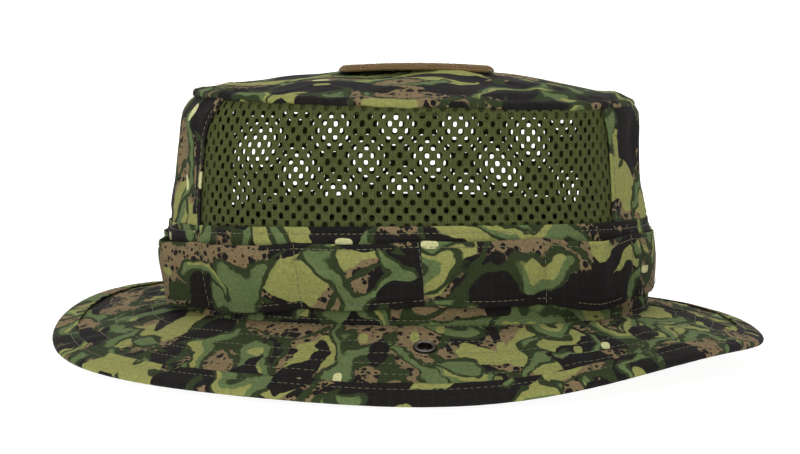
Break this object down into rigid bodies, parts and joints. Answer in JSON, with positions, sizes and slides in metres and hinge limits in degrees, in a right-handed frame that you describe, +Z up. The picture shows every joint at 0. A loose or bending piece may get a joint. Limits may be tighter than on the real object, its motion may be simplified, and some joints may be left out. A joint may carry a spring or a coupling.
{
  "type": "boonie hat",
  "caption": "Soft camouflage bush hat with mesh crown windows, foliage loop band, wavy stitched brim with a bound rim, brim eyelets and a loop tape patch on the crown.",
  "frame": {"origin": "on the ground under the middle of the brim, which rests on the lowest points of its rim", "axes": "+X to the front of the hat, +Y to the wearer's left, +Z up"},
  "size_m": [0.321, 0.287, 0.1309],
  "materials": {
    "camo_ripstop": "matt ripstop weave printed with a green, tan and charcoal camouflage",
    "olive_mesh": "matt knitted mesh",
    "loop_tape": "fuzzy loop pile",
    "sweatband_cloth": "matt twill",
    "interlining": "stiff non-woven",
    "seam_tape": "matt twill tape",
    "gunmetal": "dark satin"
  },
  "bodies": {
    "root": {"crown_top_panel": "camo_ripstop", "crown_front_panel": "camo_ripstop", "crown_rear_panel": "camo_ripstop", "mesh_panel_left": "olive_mesh", "mesh_panel_right": "olive_mesh", "base_band": "camo_ripstop", "foliage_band": "camo_ripstop", "brim_top_left": "camo_ripstop", "brim_top_right": "camo_ripstop", "brim_under_left": "camo_ripstop", "brim_under_right": "camo_ripstop", "brim_interlining_left": "interlining", "brim_interlining_right": "interlining", "brim_binding": "camo_ripstop", "sweatband": "sweatband_cloth", "loop_patch": "loop_tape", "top_seam_tape": "seam_tape", "front_left_seam_tape": "seam_tape", "front_right_seam_tape": "seam_tape", "rear_left_seam_tape": "seam_tape", "rear_right_seam_tape": "seam_tape", "eyelet_left": "gunmetal", "eyelet_right": "gunmetal", "eyelet_washer_left": "gunmetal", "eyelet_washer_right": "gunmetal"}
  },
  "joints": []
}
